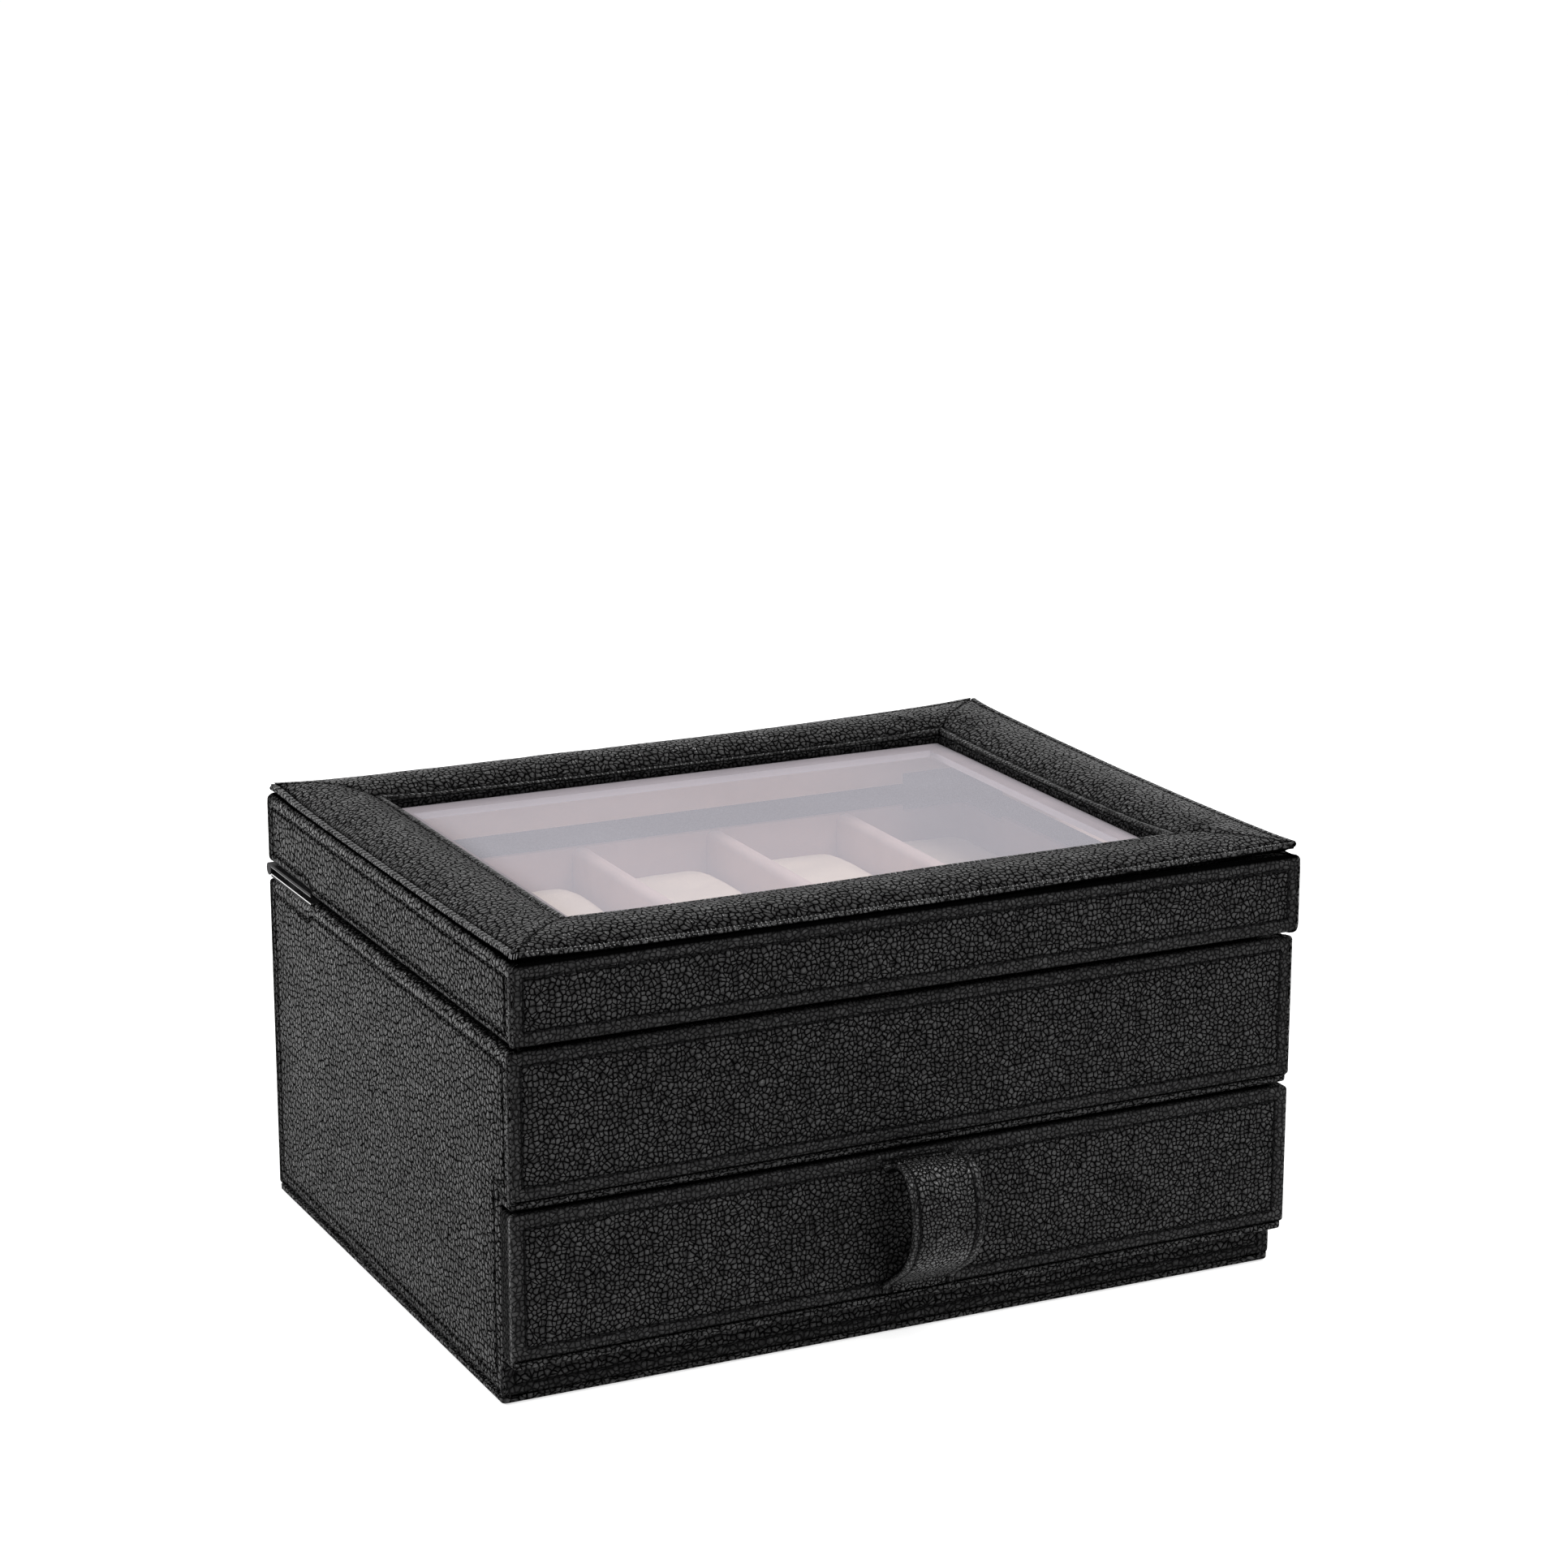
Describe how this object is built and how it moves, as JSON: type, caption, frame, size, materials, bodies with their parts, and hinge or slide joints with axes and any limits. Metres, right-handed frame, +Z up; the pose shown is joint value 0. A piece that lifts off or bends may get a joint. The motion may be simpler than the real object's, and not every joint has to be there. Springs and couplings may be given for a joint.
{
  "type": "watch box with drawer",
  "caption": "Leather-covered watch box with cushioned cells under a hinged, padded lid with a glass window, and a lined drawer below that slides out by a strap loop.",
  "frame": {"origin": "middle of the case's footprint, on the surface that the box stands on", "axes": "+X to the right seen from the drawer side, +Y towards the hinges, +Z up"},
  "size_m": [0.2546, 0.2232, 0.1381],
  "materials": {
    "leather": "pebbled, low sheen",
    "strap_leather": "fine grain, satin",
    "lining_suede": "short napped suede",
    "cushion_suede": "short napped suede",
    "window_glass": "clear, polished",
    "hinge_steel": "polished",
    "base_felt": "flat felt"
  },
  "bodies": {
    "case": {"left_side": "leather", "right_side": "leather", "back_panel": "leather", "front_panel": "leather", "chamber_floor": "leather", "plinth_rail": "leather", "drawer_deck": "leather", "bottom_board": "leather", "base_felt": "base_felt", "chamber_lining": "lining_suede", "floor_lining": "lining_suede", "long_divider": "lining_suede", "cross_divider_1": "lining_suede", "cross_divider_2": "lining_suede", "cross_divider_3": "lining_suede", "cross_divider_4": "lining_suede", "case_hinge_leaf_left": "hinge_steel", "case_hinge_leaf_right": "hinge_steel", "case_hinge_screws": "hinge_steel"},
    "lid": {"lid_left": "leather", "lid_right": "leather", "lid_back": "leather", "lid_front": "leather", "lid_top_board": "leather", "window_bead": "leather", "glass_pane": "window_glass", "glass_retainer": "lining_suede", "lid_lining": "lining_suede", "pad_front": "leather", "pad_back": "leather", "pad_left": "leather", "pad_right": "leather", "lid_hinge_leaf_left": "hinge_steel", "lid_hinge_leaf_right": "hinge_steel", "hinge_pin_left": "hinge_steel", "hinge_pin_right": "hinge_steel", "lid_hinge_screws": "hinge_steel"},
    "drawer": {"drawer_front": "leather", "drawer_bottom": "leather", "drawer_left": "leather", "drawer_right": "leather", "drawer_back": "leather", "drawer_lining": "lining_suede", "pull_loop": "strap_leather"},
    "cushion_1": {"cushion_1": "cushion_suede"},
    "cushion_2": {"cushion_2": "cushion_suede"},
    "cushion_3": {"cushion_3": "cushion_suede"},
    "cushion_4": {"cushion_4": "cushion_suede"},
    "cushion_5": {"cushion_5": "cushion_suede"},
    "cushion_6": {"cushion_6": "cushion_suede"},
    "cushion_7": {"cushion_7": "cushion_suede"},
    "cushion_8": {"cushion_8": "cushion_suede"},
    "cushion_9": {"cushion_9": "cushion_suede"},
    "cushion_10": {"cushion_10": "cushion_suede"}
  },
  "joints": [
    {"name": "lid_hinge", "type": "hinge", "parent": "case", "child": "lid", "pos_m": [0, 0.1008, 0.10795], "axis": [-1, 0, 0], "range_deg": [0, 95]},
    {"name": "drawer_slide", "type": "slide", "parent": "case", "child": "drawer", "axis": [0, -1, 0], "range_m": [0, 0.15]},
    {"name": "cushion_1_lift", "type": "slide", "parent": "case", "child": "cushion_1", "axis": [0, 0, 1], "range_m": [0, 0.028]},
    {"name": "cushion_2_lift", "type": "slide", "parent": "case", "child": "cushion_2", "axis": [0, 0, 1], "range_m": [0, 0.028]},
    {"name": "cushion_3_lift", "type": "slide", "parent": "case", "child": "cushion_3", "axis": [0, 0, 1], "range_m": [0, 0.028]},
    {"name": "cushion_4_lift", "type": "slide", "parent": "case", "child": "cushion_4", "axis": [0, 0, 1], "range_m": [0, 0.028]},
    {"name": "cushion_5_lift", "type": "slide", "parent": "case", "child": "cushion_5", "axis": [0, 0, 1], "range_m": [0, 0.028]},
    {"name": "cushion_6_lift", "type": "slide", "parent": "case", "child": "cushion_6", "axis": [0, 0, 1], "range_m": [0, 0.028]},
    {"name": "cushion_7_lift", "type": "slide", "parent": "case", "child": "cushion_7", "axis": [0, 0, 1], "range_m": [0, 0.028]},
    {"name": "cushion_8_lift", "type": "slide", "parent": "case", "child": "cushion_8", "axis": [0, 0, 1], "range_m": [0, 0.028]},
    {"name": "cushion_9_lift", "type": "slide", "parent": "case", "child": "cushion_9", "axis": [0, 0, 1], "range_m": [0, 0.028]},
    {"name": "cushion_10_lift", "type": "slide", "parent": "case", "child": "cushion_10", "axis": [0, 0, 1], "range_m": [0, 0.028]}
  ]
}
